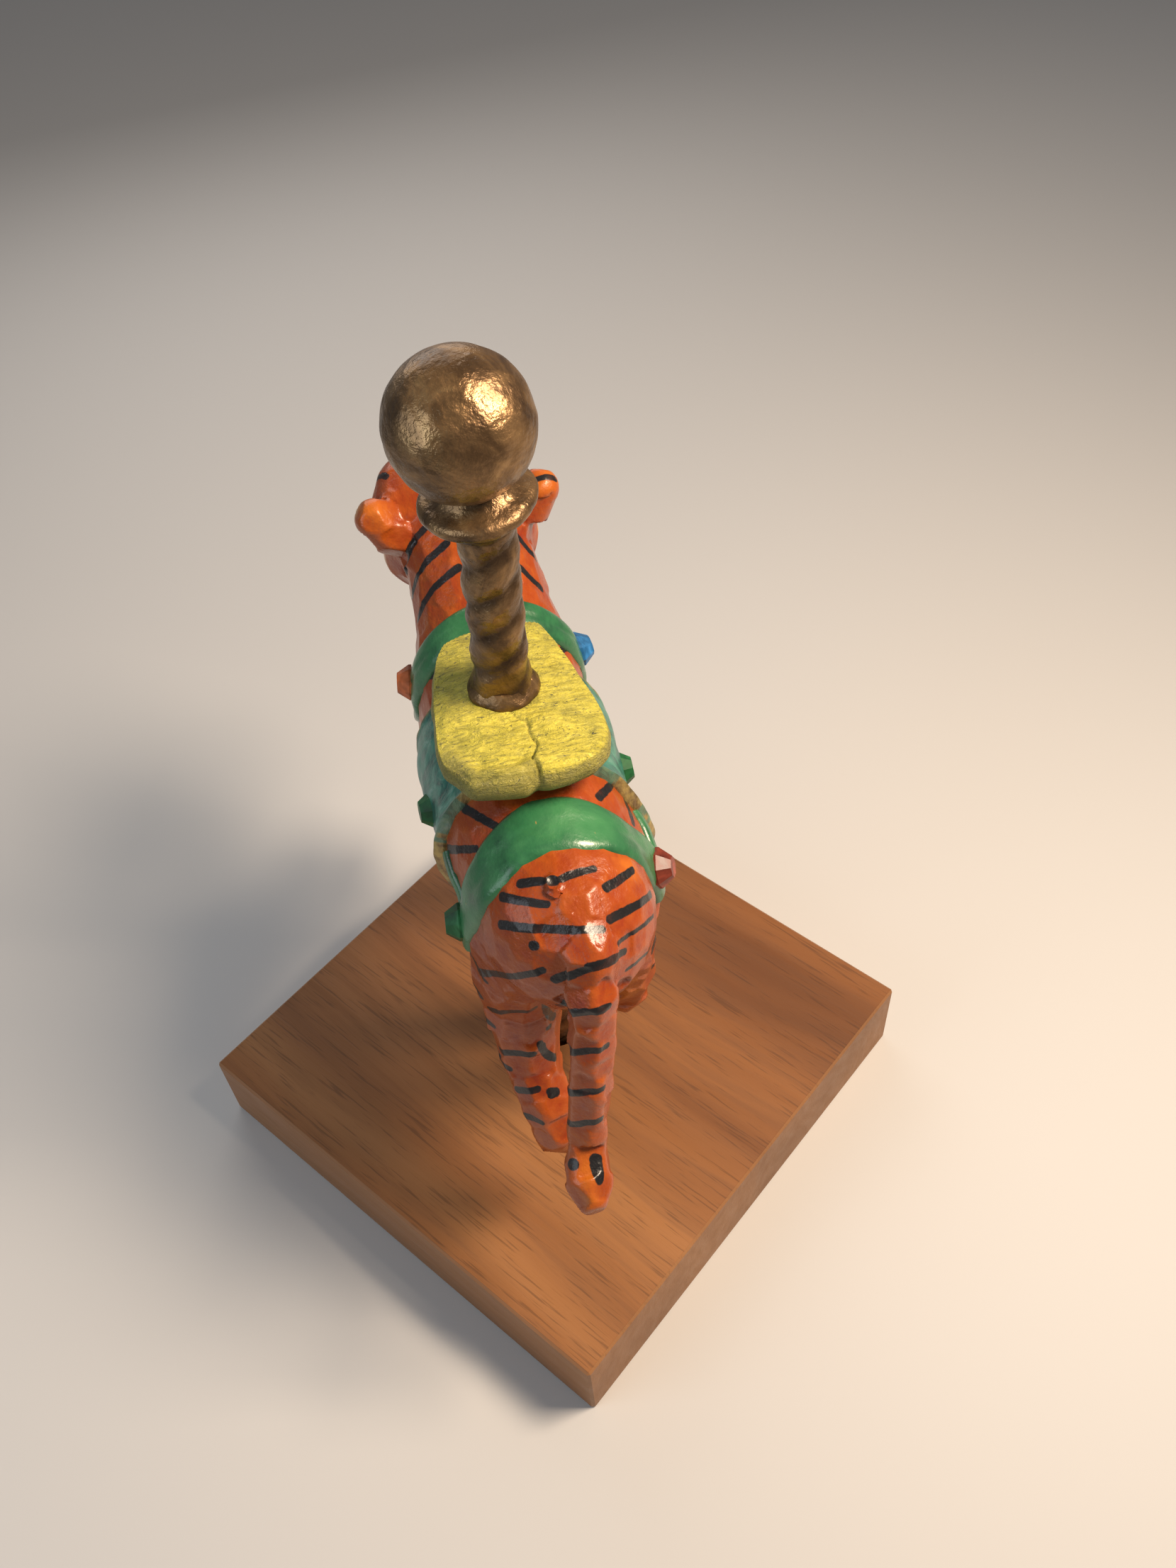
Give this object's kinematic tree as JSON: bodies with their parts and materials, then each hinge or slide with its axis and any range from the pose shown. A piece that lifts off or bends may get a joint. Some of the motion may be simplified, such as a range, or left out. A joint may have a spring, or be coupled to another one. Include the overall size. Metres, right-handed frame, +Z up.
{
  "type": "carved carousel tiger figure",
  "caption": "Hand-carved, painted carousel tiger with saddle, straps and faceted stones on a gold spiral pole with a ball finial, standing on a square walnut plinth.",
  "frame": {"origin": "middle of the plinth's underside, on the pole's axis", "axes": "+Z up along the pole; the tiger faces -Y; its left side is +X; the plinth is turned 37.1 degrees about Z"},
  "size_m": [0.1422, 0.1422, 0.1798],
  "materials": {
    "walnut": "oiled, fine sanded, sawn edges",
    "antique_gold": "metallic antique gold paint over carved wood, satin",
    "tiger_paint": "orange paint with black brush stripes under gloss varnish",
    "saddle_yellow": "yellow paint over coarse fibre, satin",
    "blanket_paint": "mottled green paint with a gold edge, gloss",
    "strap_green": "green paint, gloss",
    "stone_orange": "faceted, polished",
    "stone_blue": "faceted, polished",
    "stone_green": "faceted, polished",
    "stone_red": "faceted, polished",
    "bare_dowel": "bare wood"
  },
  "bodies": {
    "root": {"base_plinth": "walnut", "pole": "antique_gold", "finial_collar": "antique_gold", "finial_ball": "antique_gold", "pole_foot_ring": "antique_gold", "torso": "tiger_paint", "head": "tiger_paint", "ear_left": "tiger_paint", "ear_right": "tiger_paint", "foreleg_left": "tiger_paint", "foreleg_right": "tiger_paint", "hindleg_left": "tiger_paint", "hindleg_right": "tiger_paint", "tail": "tiger_paint", "saddle": "saddle_yellow", "saddle_blanket": "blanket_paint", "breast_strap": "strap_green", "girth_strap": "strap_green", "rump_strap": "strap_green", "breast_gem_left": "stone_orange", "breast_gem_right": "stone_blue", "girth_gem_left": "stone_green", "girth_gem_right": "stone_green", "rump_gem_left": "stone_green", "rump_gem_right": "stone_red", "foreleg_left_peg": "bare_dowel", "foreleg_right_peg": "bare_dowel", "hindleg_left_peg": "bare_dowel", "hindleg_right_peg": "bare_dowel", "tail_peg": "bare_dowel", "neck_peg": "bare_dowel"}
  },
  "joints": []
}
